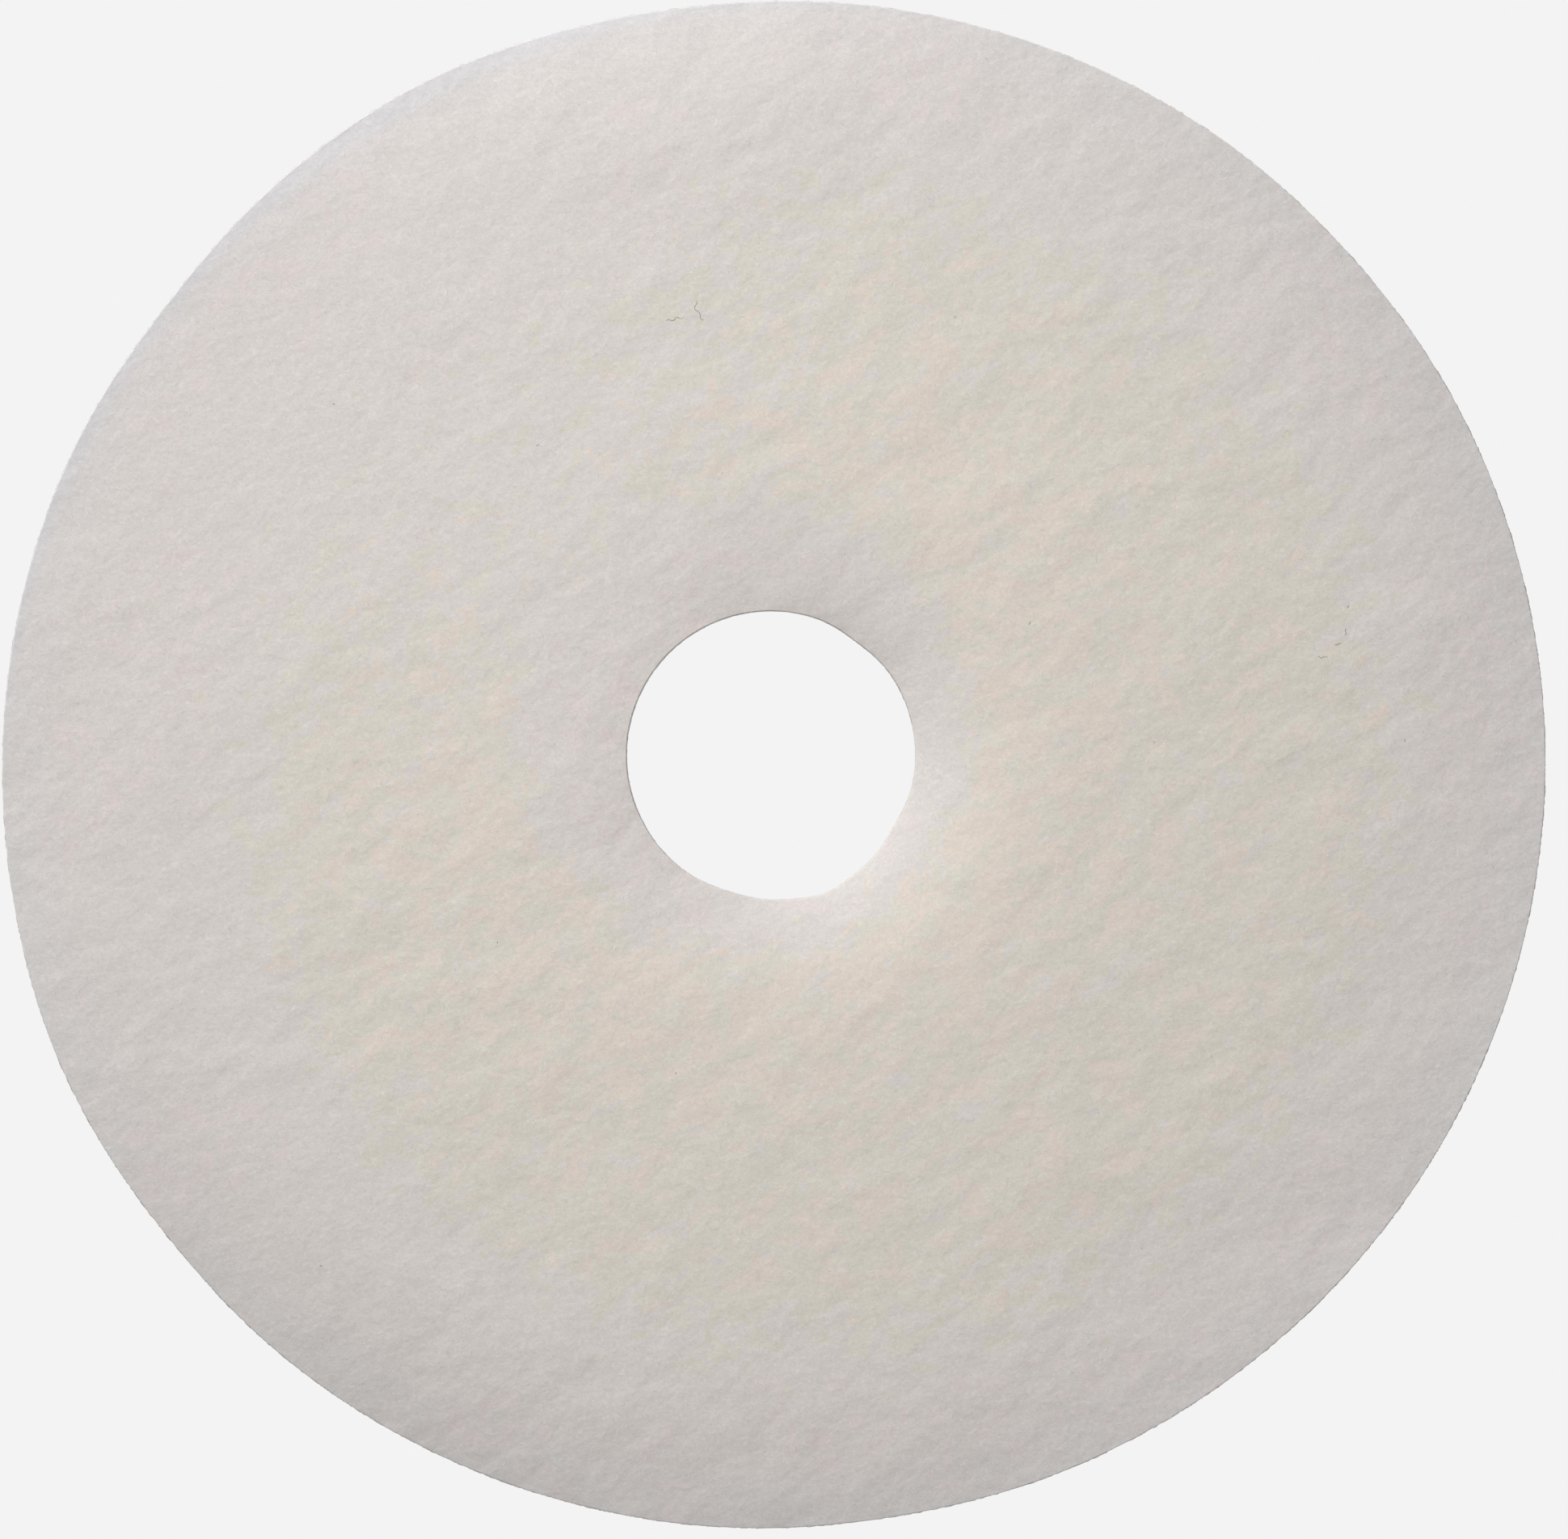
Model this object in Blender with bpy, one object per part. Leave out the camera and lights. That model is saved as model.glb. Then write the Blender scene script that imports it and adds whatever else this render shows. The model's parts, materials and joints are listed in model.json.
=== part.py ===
"""Felt polishing wheel: a thick, soft disc of needled white fibre with a large centre hole.

The wheel is a stack of cross-laid fibre plies. It lies on its back face with the working face up.
The origin is the centre of the round outline, on the plane of the back face. All sizes are in metres.
Directions are in degrees from +X, turning towards +Y.
"""

import math

import bmesh
import bpy
from mathutils import Vector

# Driving dimensions
OUTER_RADIUS = 0.2160  # mean radius of a 17 inch wheel
HOLE_RADIUS = 0.0407  # mean radius of the centre hole
HOLE_CENTRE = Vector((-0.0008, 0.0026, 0.0))  # the hole is cut a little off the outline's centre
THICKNESS = 0.0254
PLY_COUNT = 8
PLY_GAP = 0.0004  # clear space between neighbouring plies, before the edges are squeezed
SEGMENTS = 64  # steps round the wheel

# The soft disc is out of round: an oval, with local bulges (+) and flats (-).
# Each local one is (direction, height, half width in degrees).
OVAL_HEIGHT = 0.0012
OVAL_DIRECTION = 17
RIM_WAVES = (
    (42, -0.0005, 9),
    (96, -0.0004, 7),
    (118, 0.0009, 9),
    (143, -0.0014, 9),
    (201, 0.0006, 9),
    (219, -0.0007, 8),
    (279, -0.0006, 9),
)
HOLE_WAVES = (
    (53, -0.0007, 12),
    (252, -0.0006, 12),
    (292, 0.0010, 11),
    (331, -0.0007, 11),
)

# Cutting squeezes both edges, so the faces roll towards each other near the rim and the hole.
# At the rim the working face drops more in some stretches (+) and less in one (-),
# each (direction, change, half width in degrees). At the hole it drops most on one side.
ROLL_WIDTH = 0.044  # how far in from an edge the roll reaches
MID_ROLL = 0.35  # where the middle station of a roll lies, as a share of its width
FACE_DROP_AT_RIM = 0.0012
RIM_PINCHES = (
    (15, 0.0025, 24),
    (52, -0.0016, 16),
    (100, 0.0045, 28),
    (239, 0.0056, 55),
)
FACE_DROP_AT_HOLE = 0.0037
HOLE_DROP_SWING = 0.0022
HOLE_DROP_DIRECTION = 332
BACK_RISE = 0.0015  # how far the back face rises at both edges

# Looks, with colours as linear RGB
FACE_COLOUR = (0.70, 0.67, 0.61)
CORE_COLOUR = (0.74, 0.71, 0.65)
FELT_ROUGHNESS = 0.95
FELT_SHEEN = 0.3
SHARP_ANGLE = math.radians(30)


def waves_at(angle, waves):
    """Total height of the local waves in one direction, with the angle in radians."""
    total = 0.0
    for direction, height, half_width in waves:
        apart = math.remainder(angle - math.radians(direction), math.tau)
        total += height * math.exp(-((apart / math.radians(half_width)) ** 2))
    return total


def rim_point(angle):
    """Point of the outer outline in one direction."""
    oval = OVAL_HEIGHT * math.cos(2 * (angle - math.radians(OVAL_DIRECTION)))
    radius = OUTER_RADIUS + oval + waves_at(angle, RIM_WAVES)
    return Vector((radius * math.cos(angle), radius * math.sin(angle), 0.0))


def hole_point(angle):
    """Point of the hole's outline in one direction from the hole's centre."""
    radius = HOLE_RADIUS + waves_at(angle, HOLE_WAVES)
    return HOLE_CENTRE + Vector((radius * math.cos(angle), radius * math.sin(angle), 0.0))


def roll(distance):
    """How much of an edge's roll is left at a distance in from that edge, from 1 to 0."""
    return max(0.0, 1.0 - distance / ROLL_WIDTH) ** 2


def face_heights(angle, share):
    """Heights of the back and working faces, at a share of the way from the hole to the rim."""
    width = OUTER_RADIUS - HOLE_RADIUS
    at_hole = roll(share * width)
    at_rim = roll((1.0 - share) * width)
    swing = math.cos(angle - math.radians(HOLE_DROP_DIRECTION))
    hole_drop = FACE_DROP_AT_HOLE + HOLE_DROP_SWING * swing
    rim_drop = FACE_DROP_AT_RIM + waves_at(angle, RIM_PINCHES)
    low = BACK_RISE * (at_hole + at_rim)
    high = THICKNESS - hole_drop * at_hole - rim_drop * at_rim
    return low, high


def ply_profile(ply):
    """Closed cross-section of one flat ply as (radius, height) pairs. Ply 0 is the back face."""
    pitch = THICKNESS / PLY_COUNT
    low = ply * pitch
    high = low + pitch
    if ply > 0:
        low += PLY_GAP / 2
    if ply < PLY_COUNT - 1:
        high -= PLY_GAP / 2
    steps = (0.0, MID_ROLL * ROLL_WIDTH, ROLL_WIDTH)
    stations = [HOLE_RADIUS + step for step in steps]
    stations += [OUTER_RADIUS - step for step in reversed(steps)]
    bottom = [(radius, low) for radius in stations]
    top = [(radius, high) for radius in reversed(stations)]
    return bottom + top


def spin_profile(profile):
    """A ring made by turning a closed profile round the Z axis."""
    ring = bmesh.new()
    corners = [ring.verts.new((radius, 0.0, height)) for radius, height in profile]
    edges = [ring.edges.new(pair) for pair in zip(corners, corners[1:] + corners[:1])]
    bmesh.ops.spin(
        ring,
        geom=corners + edges,
        axis=(0, 0, 1),
        cent=(0, 0, 0),
        angle=math.tau,
        steps=SEGMENTS,
        use_merge=True,
    )
    bmesh.ops.recalc_face_normals(ring, faces=ring.faces)
    return ring


def press_to_shape(ring):
    """Moves a flat true ring's points to the wheel's outlines and between its rolled faces."""
    for vertex in ring.verts:
        angle = math.atan2(vertex.co.y, vertex.co.x)
        share = (vertex.co.xy.length - HOLE_RADIUS) / (OUTER_RADIUS - HOLE_RADIUS)
        low, high = face_heights(angle, share)
        placed = hole_point(angle).lerp(rim_point(angle), share)
        placed.z = low + (high - low) * vertex.co.z / THICKNESS
        vertex.co = placed


def felt_material(name, colour):
    """Matt white fibre with a soft sheen."""
    material = bpy.data.materials.new(name)
    material.use_nodes = True
    surface = material.node_tree.nodes["Principled BSDF"]
    surface.inputs["Base Color"].default_value = (*colour, 1.0)
    surface.inputs["Roughness"].default_value = FELT_ROUGHNESS
    surface.inputs["Metallic"].default_value = 0.0
    surface.inputs["Sheen Weight"].default_value = FELT_SHEEN
    return material


def add_ply(name, ply, material, parent):
    """One ply of the stack as its own object."""
    ring = spin_profile(ply_profile(ply))
    press_to_shape(ring)
    mesh = bpy.data.meshes.new(name)
    ring.to_mesh(mesh)
    ring.free()
    mesh.materials.append(material)
    mesh.shade_smooth()
    mesh.set_sharp_from_angle(angle=SHARP_ANGLE)
    body = bpy.data.objects.new(name, mesh)
    body.parent = parent
    bpy.context.scene.collection.objects.link(body)


def clear_scene():
    for item in list(bpy.data.objects):
        bpy.data.objects.remove(item)


def build():
    clear_scene()
    wheel = bpy.data.objects.new("wheel", None)
    bpy.context.scene.collection.objects.link(wheel)
    last = PLY_COUNT - 1
    add_ply("back_face_ply", 0, felt_material("back_face_felt", FACE_COLOUR), wheel)
    for ply in range(1, last):
        add_ply(f"core_ply_{ply}", ply, felt_material(f"core_felt_{ply}", CORE_COLOUR), wheel)
    add_ply("working_face_ply", last, felt_material("working_face_felt", FACE_COLOUR), wheel)


build()
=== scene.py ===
"""The looks of the felt polishing wheel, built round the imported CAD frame.

Each ply of the CAD becomes a soft ring of felt with a combed surface and fibrous edges, and short
crimped fibres lie over the faces and the cut edges. Lengths are in metres, directions in degrees
from +X towards +Y.
"""

import json
import math

import bpy
import numpy as np
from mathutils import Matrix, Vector


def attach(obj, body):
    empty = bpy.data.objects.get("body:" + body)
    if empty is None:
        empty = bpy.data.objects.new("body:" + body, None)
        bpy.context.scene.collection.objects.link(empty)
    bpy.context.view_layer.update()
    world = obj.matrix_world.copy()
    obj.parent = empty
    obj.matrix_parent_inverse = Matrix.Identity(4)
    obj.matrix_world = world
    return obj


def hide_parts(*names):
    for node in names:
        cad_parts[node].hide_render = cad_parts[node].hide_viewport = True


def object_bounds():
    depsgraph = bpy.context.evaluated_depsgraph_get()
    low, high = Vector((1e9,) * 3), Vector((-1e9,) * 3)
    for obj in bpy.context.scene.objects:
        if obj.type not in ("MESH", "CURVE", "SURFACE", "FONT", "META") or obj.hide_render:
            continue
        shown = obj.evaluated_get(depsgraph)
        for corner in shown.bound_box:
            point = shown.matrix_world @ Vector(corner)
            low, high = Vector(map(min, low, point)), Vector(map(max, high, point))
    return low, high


TAU = math.tau
MM = 0.001

# Ply names, from the back face up
PLIES = ["back_face_ply"] + [f"core_ply_{i}" for i in range(1, 7)] + ["working_face_ply"]

# How finely each part of a ply is meshed
FACE_SPACING = 1.4 * MM
BACK_SPACING = 2.2 * MM
HIDDEN_SPACING = 9.0 * MM
CORNER_SPACING = 0.12 * MM  # next to a cut edge, growing away from it
CORNER_GROWTH = 0.5  # how much wider each step may be, as a share of the distance so far
FEWEST_STEPS = 48  # round any ring
WALL_ROWS = 6

# Form of the plies
COMB_DIRECTION = 30  # laying and brushing the fibre left streaks that run this way
RIM_ROLL = 44 * MM  # how far in from the rim its squeezed roll reaches
HOLE_ROLL = 66 * MM  # and out from the hole's edge
RIM_LIFT = 2.0 * MM  # the working face swells towards the rim, where it isn't squeezed
LIP = 0.15 * MM  # rounding of the wheel's own corners
SEAM_INSET = 0.10 * MM  # how far the seams between plies draw in from the cut edge
SEAM_GAP = 0.006  # clear space at a seam, as a share of a ply
SEAM_WANDER = 0.40 * MM  # how far the seams rise and fall
SEAM_WAVES = ((22 * MM, 1.0, 200), (6 * MM, 0.5, 210))  # each (length, strength, seed)
EDGE_WANDER = 0.09 * MM  # how far the cut edges move in and out
EDGE_WAVE = 8 * MM  # and over what length
EDGE_SEED = 300
HOLE_DRAFT = 0.25 * MM  # how much wider the hole is at the back face
EDGE_FADE = 3 * MM  # how soon these shifts of the edges die away inside the felt

# Relief of the faces, as (height, length along the comb, width across it)
FACE_RELIEF = (
    (0.240 * MM, 62 * MM, 41 * MM),
    (0.165 * MM, 31 * MM, 20 * MM),
    (0.110 * MM, 14.5 * MM, 9.5 * MM),
    (0.080 * MM, 7 * MM, 4.7 * MM),
)
FACE_SEED = 1343
# The relief is weaker round these points, each (x, y, reach, share taken away)
CALM_PLACES = (
    (-0.150, 0.110, 0.090, 0.45),
    (-0.150, -0.132, 0.026, 0.70),
)
PATCHINESS = 0.25  # how much stronger and weaker the relief gets from patch to patch
PATCH_SIZE = 55 * MM
STREAK_BEND = 0.55  # how far the streaks are bent, in their own units

# Fibres
FIBRE_WIDE, FIBRE_TALL = 0.05 * MM, 0.018 * MM  # half sizes
LOZENGE = ((1, 0), (0, 1), (-1, 0), (0, -1))  # corners of their section
TIP = 0.3  # size of their ends
CRIMP_SWING = 0.14 * MM
CRIMP_LENGTH = 1.5 * MM
FIBRE_LENGTHS = (1.2 * MM, 3.2 * MM)  # shortest and longest on a face
FIBRE_SPREAD = 1.0  # of their headings about the comb direction, in radians
FIBRE_BEND = 1.1  # how much they turn from end to end, in radians
FIBRE_DEPTH = 0.025 * MM  # how deep the ends of a face's fibres are buried
FIBRE_ARCH = (0.02 * MM, 0.05 * MM)  # least and most rise of their middles above their ends
FACE_MARGIN = 0.012  # share of the face's width that has no fibre middles at each cut edge
TIP_MARGIN = 0.006  # and no fibres at all
FACE_FIBRES = 3200  # in each layer
FACE_LAYERS = 4
RIM_FIBRES = 6000  # in each layer
RIM_LAYERS = 2
HOLE_FIBRES = 3000
EDGE_RUN = 2.0 * MM  # spread of a cut edge's fibres along it
EDGE_RISE = 1.6 * MM  # and up or down it
EDGE_LEVELS = (0.04, 0.96)  # where up it their middles lie, as shares of its height
EDGE_CRIMPS = 1.5  # swings along each of them
EDGE_LEAST = 0.3  # how far the shortest ones stand out, as a share of the longest
EDGE_MARGINS = (0.3 * MM, 0.8 * MM)  # they keep this far from the back and working faces
FACE_FIBRE_SEED, BACK_FIBRE_SEED, RIM_FIBRE_SEED, HOLE_FIBRE_SEED = 500, 520, 530, 540

# Dark fibres and specks caught in the working face, each (x, y, heading, length, turn) with
# the lengths in millimetres
DARK_FIBRES = (
    (-21.3, 127.7, -70, 7.2, 65),
    (-27.9, 125.3, 15, 5.5, -10),
    (160.8, 37.4, -90, 2.4, 30),
    (158.6, 33.9, 17, 2.2, 20),
    (154.2, 30.3, 0, 3.1, 60),
    (161.5, 44.5, 60, 1.1, 0),
    (-66.5, 89.8, 45, 0.9, 0),
    (51.0, 125.9, 80, 0.7, 0),
    (71.9, 39.8, 50, 1.2, 40),
    (177.4, 6.8, 95, 0.8, 0),
    (106.9, 6.4, 100, 0.7, 0),
    (-27.6, -86.8, 60, 0.8, 0),
    (-77.8, -50.0, 110, 0.7, 0),
    (-127.4, -140.9, 20, 0.7, 0),
    (-123.8, 101.4, 0, 0.7, 0),
)
DARK_WIDE, DARK_TALL = 0.045 * MM, 0.03 * MM  # half sizes
DARK_RISE = 0.07 * MM  # how far their middles stand above the face
DARK_CURL = 0.06  # their sideways swing, as a share of their length
RIM_FUZZ = 0.20 * MM  # how far the fibres of a cut edge stand out of it
HOLE_FUZZ = 0.08 * MM
FUZZ_ROOT = 0.12 * MM  # and how deep their ends are buried

# Where the felt's tints change
WARM_CENTRE = (0.012, -0.002, 0)  # the open, warmer felt lies round this point
COOL_CENTRE = (-0.008, 0.010, 0)  # the squeezed felt round the hole
COOL_SIDE = (-0.095, 0.108, 0)  # the palest stretch of the open felt
COLD_CENTRE = (0.010, -0.014, 0)  # outside a circle round this point, the rim looks bluish

# Camera and light
VIEW_WIDTH = 0.440909  # how much of the working face's plane the frame shows across
VIEW_CENTRE = (0.002841, -0.001364)  # the wheel lies a little left of and above it
LENS = 500
SENSOR = 36
CLIP_END = 100
PALE = 0.896  # linear brightness of the backdrop
KEY_DIRECTION, KEY_ELEVATION, KEY_DISTANCE = 122, 25, 2.3  # the low light from the upper left
KEY_SIZE = (1.0, 0.8)
KEY_POWER = 42.2
TOP_HEIGHT = 0.575  # above the working face
TOP_SIZE = (0.2, 0.6)
TOP_POWER = 1.0
AMBIENT = 0.156  # brightness of the room, as the felt sees it
FLOOR = ((-3, -4), (9, 4))  # two opposite corners; its diagonal stays clear of the wheel
FLOOR_DROP = 3 * MM  # below the back face; when they nearly touch, the back face looks blotchy


# ---------------------------------------------------------------- random fields


def gradient_noise(u, v, seed):
    """Smooth noise, about -1 to 1, with one bump or so to each unit square."""
    period = 256
    angles = np.random.default_rng(seed).uniform(0, TAU, (period, period))
    gx, gy = np.cos(angles), np.sin(angles)
    iu, iv = np.floor(u).astype(int), np.floor(v).astype(int)
    fu, fv = u - iu, v - iv

    def corner(du, dv):
        i, j = (iu + du) % period, (iv + dv) % period
        return gx[i, j] * (fu - du) + gy[i, j] * (fv - dv)

    su = fu**3 * (fu * (6 * fu - 15) + 10)
    sv = fv**3 * (fv * (6 * fv - 15) + 10)
    low = corner(0, 0) * (1 - su) + corner(1, 0) * su
    high = corner(0, 1) * (1 - su) + corner(1, 1) * su
    return 1.6 * (low * (1 - sv) + high * sv)


def combed_noise(x, y, along, across, seed):
    """Smooth noise stretched along the comb direction, with the streaks gently bent."""
    turn = math.radians(COMB_DIRECTION)
    u = (x * math.cos(turn) + y * math.sin(turn)) / along
    v = (y * math.cos(turn) - x * math.sin(turn)) / across
    bend = STREAK_BEND * gradient_noise(u * 0.6, v * 0.4, seed + 1)
    return gradient_noise(u + bend, v + bend, seed)


def relief(x, y, seed):
    """Height of the felt's own unevenness at a point of a face."""
    total = np.zeros_like(x)
    for k, (height, along, across) in enumerate(FACE_RELIEF):
        total += height * combed_noise(x, y, along, across, seed + 10 * k)
    strength = 1 + PATCHINESS * gradient_noise(x / PATCH_SIZE, y / PATCH_SIZE, seed + 5)
    for middle_x, middle_y, reach, share in CALM_PLACES:
        distance = np.hypot(x - middle_x, y - middle_y)
        strength -= share * np.exp(-((distance / reach) ** 2))
    return strength * total


# ---------------------------------------------------------------- the stack's form, from the CAD


class Edge:
    """A ply's cut edge, read from the CAD: its radius and its two corners' heights by direction."""

    TABLE = np.linspace(0, TAU, 4097)

    def __init__(self, points, centre):
        # Every direction has two points, one on each face of the ply
        steps = len(points) // 2
        offset = points[:, :2] - centre
        direction = np.rint(np.arctan2(offset[:, 1], offset[:, 0]) / TAU * steps) % steps
        order = np.lexsort((points[:, 2], direction))
        lower, upper = points[order[0::2]], points[order[1::2]]
        self.radius_table = self.smooth(np.hypot(*(lower[:, :2] - centre).T))
        self.low_table = self.smooth(lower[:, 2])
        self.high_table = self.smooth(upper[:, 2])

    def smooth(self, values):
        """A dense table of the smoothest curve through evenly spaced values."""
        waves = np.fft.rfft(values) / len(values)
        table = np.full_like(self.TABLE, waves[0].real)
        for k, wave in enumerate(waves[1:], 1):
            table += 2 * (wave.real * np.cos(k * self.TABLE) - wave.imag * np.sin(k * self.TABLE))
        return table

    def radius(self, angle):
        return np.interp(angle % TAU, self.TABLE, self.radius_table)

    def low(self, angle):
        return np.interp(angle % TAU, self.TABLE, self.low_table)

    def high(self, angle):
        return np.interp(angle % TAU, self.TABLE, self.high_table)


def node_points(node):
    """The distinct points of a CAD node's mesh."""
    mesh = frame["nodes"][node].data
    points = np.empty(3 * len(mesh.vertices))
    mesh.vertices.foreach_get("co", points)
    return np.unique(np.round(points.reshape(-1, 3), 7), axis=0)


class Stack:
    """The whole wheel's form: a place for every direction, share of the way out, and height."""

    def __init__(self):
        back, face = node_points(PLIES[0]), node_points(PLIES[-1])
        self.flat = face[:, 2].max()
        # The CAD's points lie in rings well apart, so plain circles part the edges from the rest
        far = np.hypot(back[:, 0], back[:, 1])
        rim_reach = 0.97 * far.max()
        inner = back[far < 1.15 * far.min()]
        self.centre = inner[:, :2].mean(axis=0)
        self.rim_low = self.cut(back, np.zeros(2), rim_reach, True)
        self.rim_high = self.cut(face, np.zeros(2), rim_reach, True)
        hole_reach = 1.1 * np.hypot(*(inner[:, :2] - self.centre).T).min()
        self.hole_low = self.cut(back, self.centre, hole_reach, False)
        self.hole_high = self.cut(face, self.centre, hole_reach, False)
        self.width = (self.rim_low.radius_table - self.hole_low.radius_table).mean()

    @staticmethod
    def cut(points, centre, reach, outside):
        """A ply's edge, from the points that lie outside or inside a circle."""
        far = np.hypot(*(points[:, :2] - centre).T)
        return Edge(points[(far > reach) == outside], centre)

    def plan(self, angle, share):
        """Plan position, with share 0 on the hole's edge and 1 on the rim."""
        radius = (1 - share) * self.hole_low.radius(angle) + share * self.rim_low.radius(angle)
        x = (1 - share) * self.centre[0] + radius * np.cos(angle)
        y = (1 - share) * self.centre[1] + radius * np.sin(angle)
        return x, y

    def find(self, x, y):
        """Direction and share of a plan position, found by a few rounds of correction."""
        share = np.full_like(x, 0.5)
        for _ in range(4):
            dx, dy = x - (1 - share) * self.centre[0], y - (1 - share) * self.centre[1]
            angle = np.arctan2(dy, dx)
            inner, outer = self.hole_low.radius(angle), self.rim_low.radius(angle)
            share = (np.hypot(dx, dy) - inner) / (outer - inner)
        return angle, share

    def faces(self, angle, share):
        """Heights of the back and working faces, without the felt's own unevenness."""
        at_hole = np.clip(1 - share * self.width / HOLE_ROLL, 0, 1) ** 4
        at_rim = np.clip(1 - (1 - share) * self.width / RIM_ROLL, 0, 1) ** 2
        low = self.hole_low.low(angle) * at_hole + self.rim_low.low(angle) * at_rim
        hole_drop = self.flat - self.hole_high.high(angle)
        rim_drop = self.flat - self.rim_high.high(angle) - RIM_LIFT
        return low, self.flat - hole_drop * at_hole - rim_drop * at_rim

    def seam(self, number, angle, share):
        """Height of a ply's boundary: 0 is the back face, 8 the working face."""
        x, y = self.plan(angle, share)
        low, high = self.faces(angle, share)
        height = low + (high - low) * number / len(PLIES)
        if number in (0, len(PLIES)):
            return height + relief(x, y, FACE_SEED + number)
        wander = np.zeros_like(x)
        for length, strength, seed in SEAM_WAVES:
            wander += strength * gradient_noise(x / length, y / length, seed + number)
        return height + SEAM_WANDER * wander

    def height(self, ply, level, angle, share):
        """Height at a level, 0 to 1, through one ply."""
        low_gap = 0 if ply == 0 else SEAM_GAP
        high_gap = 0 if ply == len(PLIES) - 1 else SEAM_GAP
        level = low_gap + (1 - low_gap - high_gap) * level
        low = self.seam(ply, angle, share)
        return low + (self.seam(ply + 1, angle, share) - low) * level


# ---------------------------------------------------------------- meshes


def make_piece(name, points, faces, material, slot):
    """A smooth-shaded mesh object from arrays of points and triangles, riding on the wheel."""
    mesh = bpy.data.meshes.new(name)
    mesh.vertices.add(len(points))
    mesh.vertices.foreach_set("co", np.asarray(points, np.float32).ravel())
    mesh.loops.add(faces.size)
    mesh.loops.foreach_set("vertex_index", np.asarray(faces, np.int32).ravel())
    mesh.polygons.add(len(faces))
    mesh.polygons.foreach_set("loop_start", np.arange(len(faces), dtype=np.int32) * faces.shape[1])
    mesh.update(calc_edges=True)
    mesh.shade_smooth()
    mesh.materials.append(material)
    piece = bpy.data.objects.new(name, mesh)
    bpy.context.scene.collection.objects.link(piece)
    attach(piece, "root")
    return piece


def stitch(first, second, first_count, second_count):
    """Triangles between two closed rings of evenly spaced points, given their first indices."""
    step_a = (np.arange(first_count) + 0.5) / first_count
    step_b = (np.arange(second_count) + 0.5) / second_count
    met_b = np.searchsorted(step_b, step_a, side="left")
    met_a = np.searchsorted(step_a, step_b, side="right")
    a, b = np.arange(first_count), np.arange(second_count)
    fans_a = np.stack([first + a, second + met_b % second_count, first + (a + 1) % first_count], 1)
    fans_b = np.stack([first + met_a % first_count, second + b, second + (b + 1) % second_count], 1)
    return np.concatenate([fans_a, fans_b])


def stations(width, inset, coarse):
    """Distances out from the hole's edge, close together at both cut edges to keep them crisp."""
    half = [inset]
    while half[-1] < width / 2:
        fine = CORNER_SPACING + CORNER_GROWTH * (half[-1] - inset)
        half.append(half[-1] + min(coarse, fine))
    half = inset + (np.array(half) - inset) * (width / 2 - inset) / (half[-1] - inset)
    return np.concatenate([half, width - half[-2::-1]])


def felt_ring(stack, ply):
    """Points and triangles of one ply: hole wall, upper side, rim wall and lower side in turn."""
    last = len(PLIES) - 1
    width = stack.width
    low_corner = LIP if ply == 0 else SEAM_INSET
    high_corner = LIP if ply == last else SEAM_INSET
    upper = stations(width, high_corner, FACE_SPACING if ply == last else HIDDEN_SPACING)
    lower = stations(width, low_corner, BACK_SPACING if ply == 0 else HIDDEN_SPACING)
    rows = np.arange(1, WALL_ROWS) / WALL_ROWS * 2 - 1
    rings = []  # (distance out from the hole's edge, level, spacing)

    def wall(level_side, outer):
        """Adds one ring of a cut edge, drawn in towards its two corners."""
        across = math.sin(level_side * math.pi / 2)
        corner = high_corner if across > 0 else low_corner
        inset = corner * (1 - math.sqrt(1 - across * across))
        rings.append((width - inset if outer else inset, (across + 1) / 2, FACE_SPACING))

    for row in rows:
        wall(row, False)
    gaps = np.gradient(upper)
    rings += [(d, 1.0, gap) for d, gap in zip(upper, gaps)]
    for row in rows[::-1]:
        wall(row, True)
    gaps = np.gradient(lower)
    rings += [(d, 0.0, gap) for d, gap in zip(lower[::-1], gaps[::-1])]

    hole_radius, rim_radius = stack.hole_low.radius_table.mean(), stack.rim_low.radius_table.mean()
    angles, shares, levels, counts = [], [], [], []
    for distance, level, gap in rings:
        share = distance / width
        radius = hole_radius + share * (rim_radius - hole_radius)
        count = max(FEWEST_STEPS, round(TAU * radius / max(gap, FACE_SPACING)))
        angles.append(np.arange(count) * TAU / count)
        shares.append(np.full(count, share))
        levels.append(np.full(count, level))
        counts.append(count)
    angle, share, level = (np.concatenate(v) for v in (angles, shares, levels))
    near_hole = np.exp(-share * width / EDGE_FADE)
    near_rim = np.exp(-(1 - share) * width / EDGE_FADE)
    x, y = stack.plan(angle, share)
    wander = gradient_noise(x / EDGE_WAVE + 7 * ply, y / EDGE_WAVE + level, EDGE_SEED + ply)
    up = (ply + level) / len(PLIES)
    draft = HOLE_DRAFT * (1 - up) * near_hole
    x, y = stack.plan(angle, share + ((near_hole - near_rim) * EDGE_WANDER * wander + draft) / width)
    z = stack.height(ply, level, angle, share)

    firsts = np.concatenate([[0], np.cumsum(counts)])
    order = list(range(len(counts))) + [0]
    faces = [
        stitch(firsts[a], firsts[b], counts[a], counts[b]) for a, b in zip(order, order[1:])
    ]
    return np.stack([x, y, z], 1), np.concatenate(faces)


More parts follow.
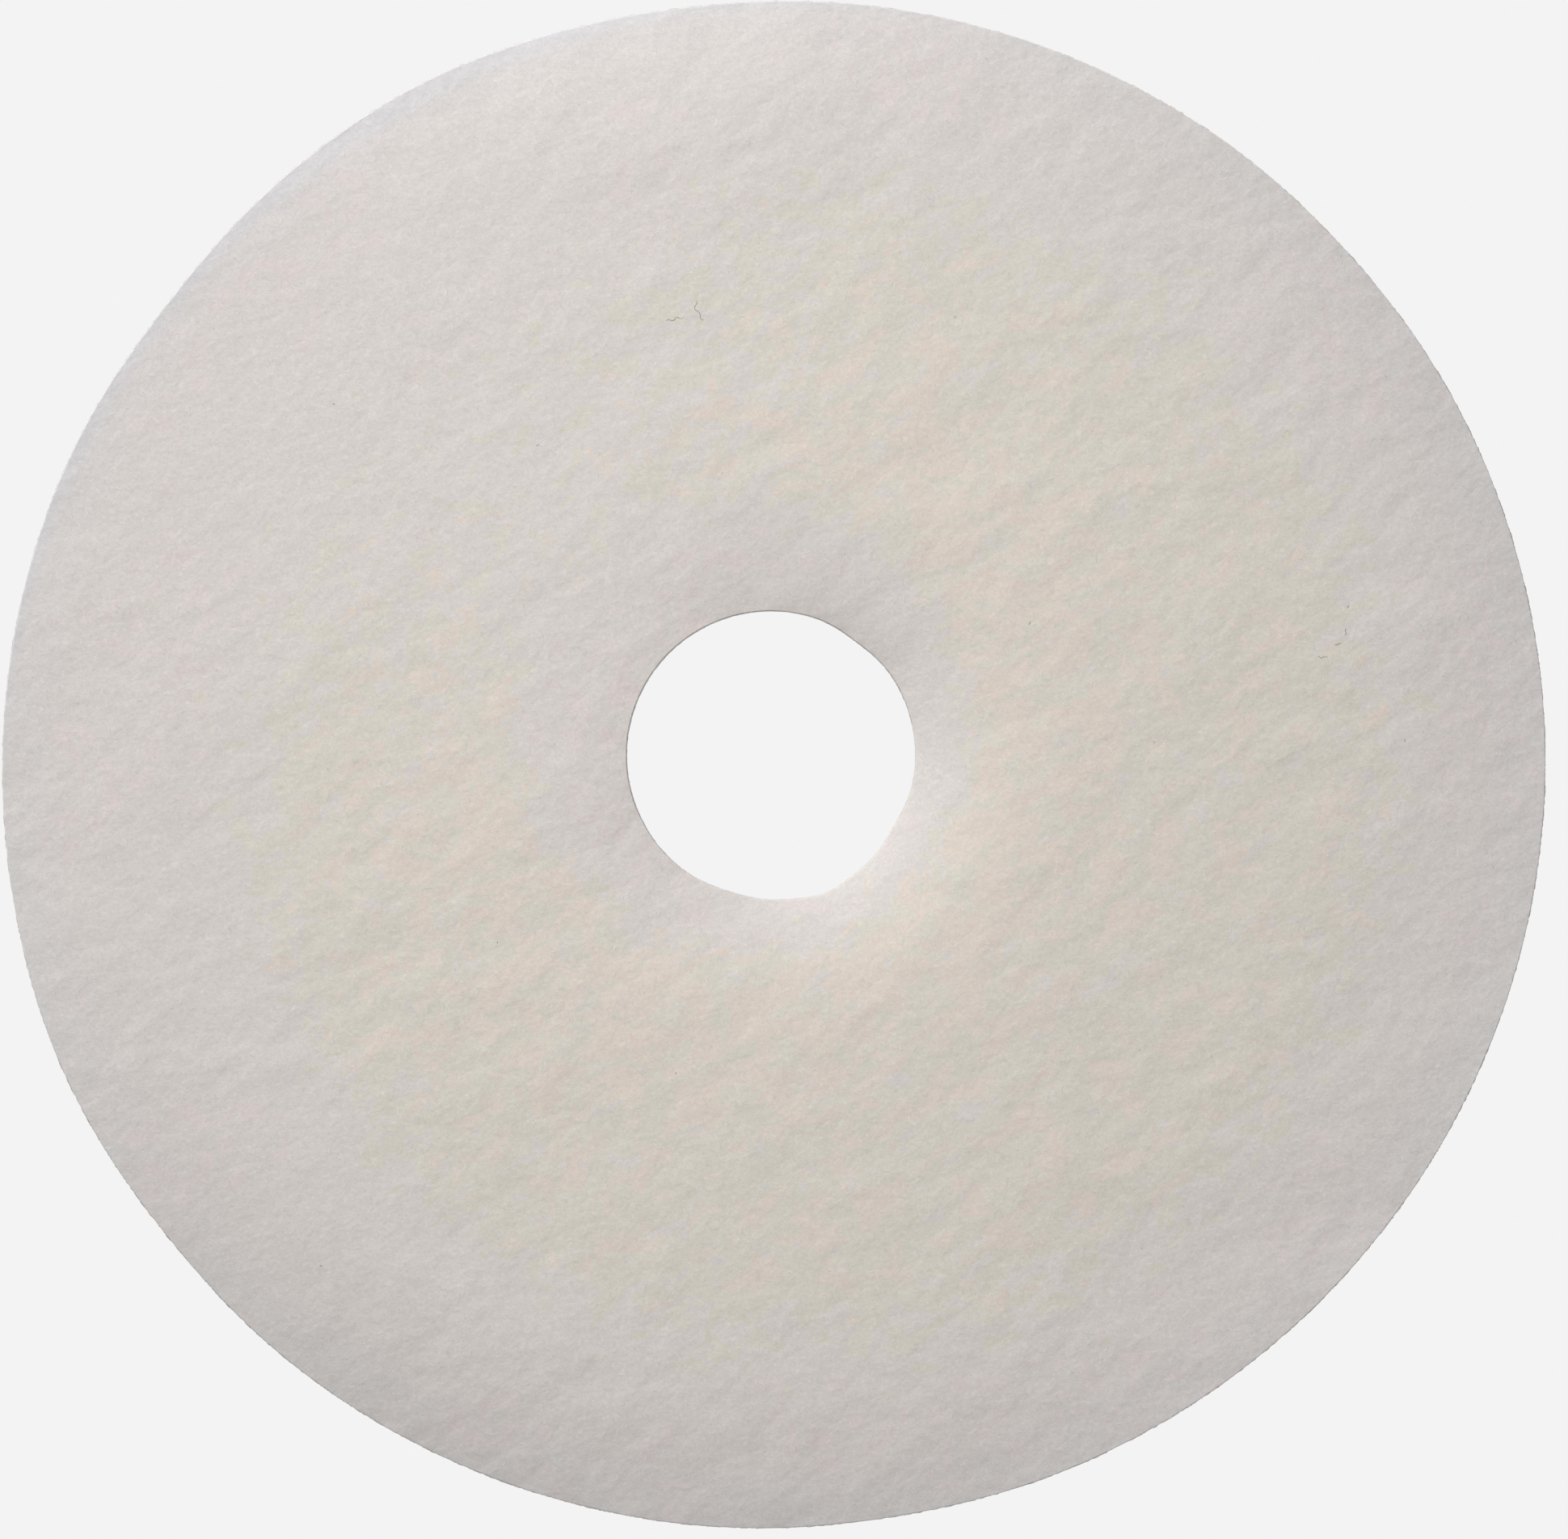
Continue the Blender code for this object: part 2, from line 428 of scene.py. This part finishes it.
def tubes(paths, wide, tall):
    """Closed four-sided tubes along paths, an array of (fibre, step, xyz), lozenge in section."""
    count, steps, _ = paths.shape
    along = np.gradient(paths, axis=1)
    along /= np.linalg.norm(along, axis=2, keepdims=True)
    side = np.cross(along, [0.0, 0.0, 1.0])
    side /= np.maximum(np.linalg.norm(side, axis=2, keepdims=True), 1e-9)
    lift = np.cross(side, along)
    taper = np.ones((1, steps, 1))
    taper[0, [0, -1]] = TIP
    corners = [paths + taper * (wide * right * side + tall * up * lift) for right, up in LOZENGE]
    points = np.stack(corners, axis=2).reshape(-1, 3)
    base = (np.arange(count) * steps * 4)[:, None, None]
    ring = (np.arange(steps - 1) * 4)[None, :, None]
    a = base + ring + np.array([0, 1, 2, 3])
    b = base + ring + np.array([1, 2, 3, 0])
    walls = np.stack([a, b, b + 4, a + 4], -1).reshape(-1, 4)
    start = base[:, 0] + np.array([3, 2, 1, 0])
    end = base[:, 0] + (steps - 1) * 4 + np.array([0, 1, 2, 3])
    return points, np.concatenate([walls, start, end])


# ---------------------------------------------------------------- fibres


def crimped_plan(rng, count, steps):
    """Plan paths of loose fibres about their middles: gentle arcs with a crimp's swing."""
    length = rng.uniform(*FIBRE_LENGTHS, count)[:, None]
    heading = math.radians(COMB_DIRECTION) + rng.normal(0, FIBRE_SPREAD, count)[:, None]
    bend = rng.normal(0, FIBRE_BEND, count)[:, None]
    t = np.linspace(-0.5, 0.5, steps)[None, :]
    turn = heading + bend * t
    step = length / (steps - 1)
    x = np.cumsum(np.cos(turn) * step, axis=1)
    y = np.cumsum(np.sin(turn) * step, axis=1)
    start = rng.uniform(0, TAU, count)[:, None]
    swing = CRIMP_SWING * np.sin(TAU * length * t / CRIMP_LENGTH + start)
    x += -np.sin(turn) * swing - x.mean(axis=1, keepdims=True)
    y += np.cos(turn) * swing - y.mean(axis=1, keepdims=True)
    return x, y


def face_fibres(stack, seed, working=True):
    """Fibres that lie on a face, with their ends buried in it."""
    rng = np.random.default_rng(seed)
    steps = 9
    inner, outer = stack.hole_low.radius_table.mean(), stack.rim_low.radius_table.mean()
    # More places are drawn than needed, and more of the outer ones kept, to cover the face evenly
    share = rng.uniform(0, 1, 4 * FACE_FIBRES)
    keep = rng.uniform(0, outer, len(share)) < inner + share * (outer - inner)
    share = FACE_MARGIN + (1 - 2 * FACE_MARGIN) * share[keep][:FACE_FIBRES]
    x0, y0 = stack.plan(rng.uniform(0, TAU, len(share)), share)
    x, y = crimped_plan(rng, len(share), steps)
    x, y = x + x0[:, None], y + y0[:, None]
    angle, share = stack.find(x, y)
    share = np.clip(share, TIP_MARGIN, 1 - TIP_MARGIN)
    x, y = stack.plan(angle, share)
    arch = np.sin(np.linspace(0, math.pi, steps))[None, :]
    lift = rng.uniform(*FIBRE_ARCH, len(x))[:, None] * arch - FIBRE_DEPTH
    seam = len(PLIES) if working else 0
    z = stack.seam(seam, angle, share) + (lift if working else -lift)
    return tubes(np.stack([x, y, z], 2), FIBRE_WIDE, FIBRE_TALL)


def edge_fibres(stack, seed, outer):
    """Fibres that stand out of a cut edge and run along it and across its seams."""
    rng = np.random.default_rng(seed)
    steps = 6
    count = RIM_FIBRES if outer else HOLE_FIBRES
    edge = stack.rim_low if outer else stack.hole_low
    radius = edge.radius_table.mean()
    run = rng.normal(0, EDGE_RUN, count)[:, None]
    rise = rng.normal(0, EDGE_RISE, count)[:, None]
    t = np.linspace(-0.5, 0.5, steps)[None, :]
    angle = rng.uniform(0, TAU, count)[:, None] + run * t / radius
    level = rng.uniform(*EDGE_LEVELS, count)[:, None]
    reach = FUZZ_ROOT + (RIM_FUZZ if outer else HOLE_FUZZ)
    reach = rng.uniform(EDGE_LEAST * reach, reach, count)[:, None]
    out = reach * np.cos(math.pi * t) - FUZZ_ROOT
    share = 1 + out / stack.width if outer else -out / stack.width
    x, y = stack.plan(angle, share)
    low, high = stack.faces(angle, np.clip(share, 0, 1))
    swing = CRIMP_SWING * np.sin(TAU * t * EDGE_CRIMPS + rng.uniform(0, TAU, count)[:, None])
    z = low + (high - low) * level + rise * t + swing
    z = np.clip(z, low + EDGE_MARGINS[0], high - EDGE_MARGINS[1])
    return tubes(np.stack([x, y, z], 2), FIBRE_WIDE, FIBRE_TALL)


def dark_fibres(stack):
    """The stray dark fibres, which lie on the working face with their ends in it."""
    steps = 13
    x0, y0, heading, length, turn = (np.array(values)[:, None] for values in zip(*DARK_FIBRES))
    t = np.linspace(-0.5, 0.5, steps)[None, :]
    way = np.radians(heading + turn * t)
    x = np.cumsum(np.cos(way), axis=1) * length * MM / steps
    y = np.cumsum(np.sin(way), axis=1) * length * MM / steps
    swing = DARK_CURL * length * MM * np.sin(2 * TAU * t)
    x += x0 * MM - x.mean(axis=1, keepdims=True) - swing * np.sin(way)
    y += y0 * MM - y.mean(axis=1, keepdims=True) + swing * np.cos(way)
    angle, share = stack.find(x, y)
    z = stack.seam(len(PLIES), angle, share) + DARK_RISE * np.cos(math.pi * t)
    return tubes(np.stack([x, y, z], 2), DARK_WIDE, DARK_TALL)


# ---------------------------------------------------------------- materials


class Nodes:
    """A short way to write a material's nodes."""

    def __init__(self, name):
        self.material = bpy.data.materials.new(name)
        self.material.use_nodes = True
        self.tree = self.material.node_tree
        self.surface = self.tree.nodes["Principled BSDF"]

    def add(self, kind, inputs=None, **settings):
        node = self.tree.nodes.new("ShaderNode" + kind)
        for key, value in settings.items():
            setattr(node, key, value)
        for key, value in (inputs or {}).items():
            self.set(node.inputs[key], value)
        return node

    def set(self, socket, value):
        if isinstance(value, bpy.types.NodeSocket):
            self.tree.links.new(value, socket)
        else:
            socket.default_value = value

    def math(self, operation, a, b=0.0):
        return self.add("Math", {0: a, 1: b}, operation=operation).outputs[0]

    def product(self, a, b):
        return self.math("MULTIPLY", a, b)

    def total(self, a, b):
        return self.math("ADD", a, b)

    def scaled(self, value, gain, offset):
        inputs = {0: value, 1: gain, 2: offset}
        return self.add("Math", inputs, operation="MULTIPLY_ADD").outputs[0]

    def tinted(self, colour, light):
        inputs = {0: colour, "Scale": light}
        return self.add("VectorMath", inputs, operation="SCALE").outputs[0]

    def ramp(self, value, low, high, from_value=0.0, to_value=1.0):
        """A soft step from one value to another, as the input goes from low to high."""
        inputs = {0: value, 1: low, 2: high, 3: from_value, 4: to_value}
        return self.add("MapRange", inputs, interpolation_type="SMOOTHSTEP").outputs[0]

    def distance(self, place, centre):
        inputs = {0: place, 1: centre}
        return self.add("VectorMath", inputs, operation="DISTANCE").outputs["Value"]

    def blend(self, share, a, b):
        node = self.add("Mix", {"Factor": share, "A": a, "B": b}, data_type="RGBA")
        return node.outputs["Result"]

    def noise(self, place, scale, detail=2.0, roughness=0.5, distortion=0.0):
        inputs = {
            "Vector": place,
            "Scale": scale,
            "Detail": detail,
            "Roughness": roughness,
            "Distortion": distortion,
        }
        return self.add("TexNoise", inputs).outputs["Fac"]

    def bump(self, height, depth, **below):
        """A surface direction with fine relief, on top of another one if it's given."""
        inputs = {"Height": height, "Strength": 1.0, "Distance": depth, **below}
        return self.add("Bump", inputs).outputs[0]

    def turned(self, place, degrees, stretch):
        """Coordinates turned about Z and squeezed along the new X, so a texture runs that way."""
        node = self.add(
            "Mapping",
            {"Vector": place, "Rotation": (0, 0, math.radians(degrees)), "Scale": (stretch, 1, 1)},
            vector_type="TEXTURE",
        )
        return node.outputs[0]


# Colours as linear RGB. Those of the felt are the cold edge, the squeezed felt and its specks,
# and the open middle's two tints.
EDGE_BLUE = (0.820, 0.800, 0.812, 1)
NEUTRAL = (0.846, 0.798, 0.762, 1)
PINK = (0.876, 0.791, 0.770, 1)
CREAM = (0.843, 0.801, 0.706, 1)
ROSE = (0.892, 0.794, 0.711, 1)
WHITE_FIBRE = (0.93, 0.90, 0.86)
# painted shade: the cut edges' fibres are a darker copy of the white fibre, to tone down the low key
# light's glare on the walls
SHADED_CUT_EDGE_FIBRE = (0.80, 0.77, 0.73)
DARK_FIBRE = (0.20, 0.10, 0.075)
WHITE = (1, 1, 1, 1)

# The tangle's layers, each (noise scale, how much its strands curl), and their width
TANGLE = ((520, 0.8), (760, 1.1), (1050, 1.4))
STRAND_WIDTH = 0.055
STRAND_TONE = 0.125  # how much brighter the strands are than the felt between them
FELT_TONE = 0.996
LUMP_HOLLOW_SHADE = 0.08  # painted shade: how much brighter the lumps' tops are painted than their feet, which are darkened as hollows
CUT_PORES_AND_SHADE = 0.80  # painted shade on the cut edges: darker, partly for their open pores, partly to tone down the low key light's glare on them
LUMP_DEPTH = 0.17 * MM
STRAND_DEPTH = 0.010 * MM
PLY_SHIFT = (0.37, 0.71, 0)  # how far each ply's pattern is moved from the last one's


def felt_warmth(n, flat):
    """How warm the felt is, from 0 to 1: least at its cut edges, and less on one side."""
    off_rim = n.ramp(n.distance(flat, WARM_CENTRE), 0.195, 0.135)
    off_hole = n.ramp(n.distance(flat, COOL_CENTRE), 0.047, 0.074)
    off_side = n.ramp(n.distance(flat, COOL_SIDE), 0.02, 0.15, 0.45, 1.0)
    return n.product(n.product(off_rim, off_hole), off_side)


def felt_tint(n, flat, shifted):
    """Colour of the felt: neutral with pink specks, then cream, rose and blue in their places."""
    combed = n.turned(shifted, COMB_DIRECTION, 1.4)
    warmth = felt_warmth(n, flat)
    specks = n.ramp(n.noise(shifted, 160, 4.0, 0.6), 0.50, 0.58)
    specks = n.product(specks, n.ramp(n.noise(shifted, 22), 0.46, 0.58))
    specks = n.product(specks, n.ramp(warmth, 0.0, 0.7, 1.0, 0.2))
    tint = n.blend(specks, NEUTRAL, PINK)

    patch = n.total(n.noise(combed, 150, 4.0, 0.65, 0.4), n.scaled(warmth, 0.34, -0.22))
    tint = n.blend(n.ramp(patch, 0.48, 0.54), tint, CREAM)

    inner = n.ramp(n.distance(flat, COOL_CENTRE), 0.075, 0.135, 0.30, 0.22)
    patch = n.total(n.noise(combed, 120, 4.0, 0.65, 0.4), n.product(warmth, inner))
    tint = n.blend(n.ramp(patch, 0.74, 0.80), tint, ROSE)

    one_side = n.ramp(n.distance(flat, COLD_CENTRE), 0.222, 0.231)
    all_round = n.ramp(n.distance(flat, (0, 0, 0)), 0.196, 0.214, 0.0, 0.3)
    return n.blend(n.math("MAXIMUM", one_side, all_round), tint, EDGE_BLUE)


def fibre_tangle(n, shifted):
    """Crossing curly strands, 1 along their middles and 0 between them."""
    tangle = None
    for scale, curl in TANGLE:
        path = n.noise(shifted, scale, 2.0, 0.5, curl)
        off_middle = n.math("ABSOLUTE", n.scaled(path, 1.0, -0.5))
        strand = n.math("MAXIMUM", n.scaled(off_middle, -1 / STRAND_WIDTH, 1.0), 0.0)
        strand = n.product(strand, n.ramp(n.noise(shifted, 1.4 * scale), 0.35, 0.65))
        tangle = strand if tangle is None else n.math("MAXIMUM", tangle, strand)
    return tangle


def felt(name, ply):
    """White polyester felt: neutral where it's squeezed, with cream and rosy patches between, and
    painted shade in its lumps' hollows and on its cut edges.
    """
    n = Nodes(name)
    spot = n.add("TexCoord").outputs["Object"]
    flat = n.add("VectorMath", {0: spot, 1: (1, 1, 0)}, operation="MULTIPLY").outputs[0]
    shift = tuple(ply * step for step in PLY_SHIFT)
    shifted = n.add("VectorMath", {0: spot, 1: shift}).outputs[0]
    tint = felt_tint(n, flat, shifted)
    tangle = fibre_tangle(n, shifted)
    lumps = n.noise(n.turned(shifted, COMB_DIRECTION, 1.25), 370, 3.0, 0.5, 0.2)
    pores = n.ramp(n.noise(shifted, 800, 3.0, 0.6, 0.6), 0.30, 0.56, -0.04, 0.010)

    light = n.total(n.scaled(tangle, STRAND_TONE, FELT_TONE), pores)
    # painted shade: darker at the feet of the lumps and brighter on their tops, following the same
    # noise as their bump
    light = n.total(light, n.scaled(lumps, LUMP_HOLLOW_SHADE, -LUMP_HOLLOW_SHADE / 2))
    facing = n.add("SeparateXYZ", {0: n.add("NewGeometry").outputs["Normal"]}).outputs["Z"]
    # painted shade: faces that look sideways, the cut edges, are painted darker, partly for their
    # open pores, partly to tone down the low key light's glare on them
    wall_pores_and_shade = n.ramp(n.math("ABSOLUTE", facing), 0.15, 0.6, CUT_PORES_AND_SHADE, 1.0)
    n.set(n.surface.inputs["Base Color"], n.tinted(tint, n.product(light, wall_pores_and_shade)))

    n.surface.inputs["Roughness"].default_value = 0.92
    n.surface.inputs["Sheen Weight"].default_value = 0.12
    n.surface.inputs["Sheen Roughness"].default_value = 0.6
    n.surface.inputs["Specular IOR Level"].default_value = 0.15
    normal = n.bump(tangle, STRAND_DEPTH, Normal=n.bump(lumps, LUMP_DEPTH))
    n.set(n.surface.inputs["Normal"], normal)
    return n.material


def fibre(name, colour, spread=0.06):
    """Loose polyester fibres: slightly glossy, their tone varying by a share along them."""
    n = Nodes(name)
    spot = n.add("TexCoord").outputs["Object"]
    light = n.scaled(n.noise(spot, 350), 2 * spread, 1 - spread)
    n.set(n.surface.inputs["Base Color"], n.tinted(colour, light))
    n.surface.inputs["Roughness"].default_value = 0.7
    n.surface.inputs["Specular IOR Level"].default_value = 0.3
    return n.material


# ---------------------------------------------------------------- stage


def add_floor(back_face):
    """A pale glowing floor under the wheel, clear from below."""
    n = Nodes("pale_floor")
    glow = n.add("Emission", {"Color": WHITE, "Strength": PALE}).outputs[0]
    clear = n.add("BsdfTransparent").outputs[0]
    below = n.add("NewGeometry").outputs["Backfacing"]
    shown = n.add("MixShader", {0: below, 1: glow, 2: clear}).outputs[0]
    n.set(n.tree.nodes["Material Output"].inputs["Surface"], shown)
    (west, south), (east, north) = FLOOR
    corners = [(west, south), (east, south), (east, north), (west, north)]
    mesh = bpy.data.meshes.new("floor")
    mesh.from_pydata([(x, y, back_face - FLOOR_DROP) for x, y in corners], [], [(0, 1, 2, 3)])
    mesh.materials.append(n.material)
    floor = bpy.data.objects.new("floor", mesh)
    bpy.context.scene.collection.objects.link(floor)


def add_room():
    """A world that is dim to the felt but as pale as the floor to the camera."""
    world = bpy.data.worlds.new("pale_room")
    bpy.context.scene.world = world
    world.use_nodes = True
    tree = world.node_tree
    path = tree.nodes.new("ShaderNodeLightPath")
    strength = tree.nodes.new("ShaderNodeMapRange")
    strength.inputs["To Min"].default_value = AMBIENT
    strength.inputs["To Max"].default_value = PALE
    tree.links.new(path.outputs["Is Camera Ray"], strength.inputs["Value"])
    background = tree.nodes["Background"]
    background.inputs["Color"].default_value = WHITE
    tree.links.new(strength.outputs[0], background.inputs["Strength"])


def softbox(name, place, aim, size, power):
    """A soft rectangular lamp that the camera doesn't see."""
    light = bpy.data.lights.new(name, "AREA")
    light.shape = "RECTANGLE"
    light.size, light.size_y = size
    light.energy = power
    lamp = bpy.data.objects.new(name, light)
    lamp.location = place
    lamp.rotation_euler = (Vector(aim) - Vector(place)).to_track_quat("-Z", "Y").to_euler()
    lamp.visible_camera = False
    bpy.context.scene.collection.objects.link(lamp)


def lights(top):
    """One low key light from the upper left, and a weak one overhead."""
    turn, lift = math.radians(KEY_DIRECTION), math.radians(KEY_ELEVATION)
    level = KEY_DISTANCE * math.cos(lift)
    place = (level * math.cos(turn), level * math.sin(turn), top + KEY_DISTANCE * math.sin(lift))
    softbox("key_softbox", place, (0, 0, top), KEY_SIZE, KEY_POWER)
    softbox("top_softbox", (0, 0, top + TOP_HEIGHT), (0, 0, top), TOP_SIZE, TOP_POWER)


def camera(top):
    """Straight down from far off, so that the cut edges hardly show."""
    data = bpy.data.cameras.new("camera")
    data.lens = LENS
    data.sensor_width = SENSOR
    data.clip_end = CLIP_END
    eye = bpy.data.objects.new("camera", data)
    eye.location = (*VIEW_CENTRE, top + VIEW_WIDTH * LENS / SENSOR)
    bpy.context.scene.collection.objects.link(eye)
    bpy.context.scene.camera = eye


# ---------------------------------------------------------------- the scene

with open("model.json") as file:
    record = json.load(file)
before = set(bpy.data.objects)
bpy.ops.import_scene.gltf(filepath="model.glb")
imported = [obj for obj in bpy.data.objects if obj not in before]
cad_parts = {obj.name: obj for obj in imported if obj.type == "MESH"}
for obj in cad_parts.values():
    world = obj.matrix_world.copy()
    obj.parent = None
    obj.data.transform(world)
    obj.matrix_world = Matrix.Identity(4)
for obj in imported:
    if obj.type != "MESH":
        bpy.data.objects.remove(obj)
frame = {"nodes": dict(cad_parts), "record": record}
cad_low, cad_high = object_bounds()

stack = Stack()
for number, node in enumerate(PLIES):
    slot = frame["record"]["subparts"][number]["material_slot"]
    name = node.replace("_ply", "_felt")
    piece = make_piece(name, *felt_ring(stack, number), felt(name, number), slot)
    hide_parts(node)

white = fibre("white_fibre", WHITE_FIBRE)
# painted shade: the fibres on the cut edges take the darker copy of the white fibre's colour
shaded = fibre("shaded_cut_edge_fibre", SHADED_CUT_EDGE_FIBRE)
for layer in range(FACE_LAYERS):
    points, faces = face_fibres(stack, FACE_FIBRE_SEED + layer)
    make_piece(f"working_face_fibres_{layer + 1}", points, faces, white, "working_face_felt")
points, faces = face_fibres(stack, BACK_FIBRE_SEED, working=False)
make_piece("back_face_fibres", points, faces, white, "back_face_felt")
for layer in range(RIM_LAYERS):
    points, faces = edge_fibres(stack, RIM_FIBRE_SEED + layer, outer=True)
    make_piece(f"rim_fibres_{layer + 1}", points, faces, shaded, "core_felt")
points, faces = edge_fibres(stack, HOLE_FIBRE_SEED, outer=False)
make_piece("hole_fibres", points, faces, shaded, "core_felt")
dark = fibre("dark_fibre", DARK_FIBRE, 0.2)
make_piece("stray_dark_fibres", *dark_fibres(stack), dark, "working_face_felt")

add_floor(cad_low.z)
add_room()
lights(cad_high.z)
camera(cad_high.z)
bpy.context.scene.view_settings.view_transform = "Standard"
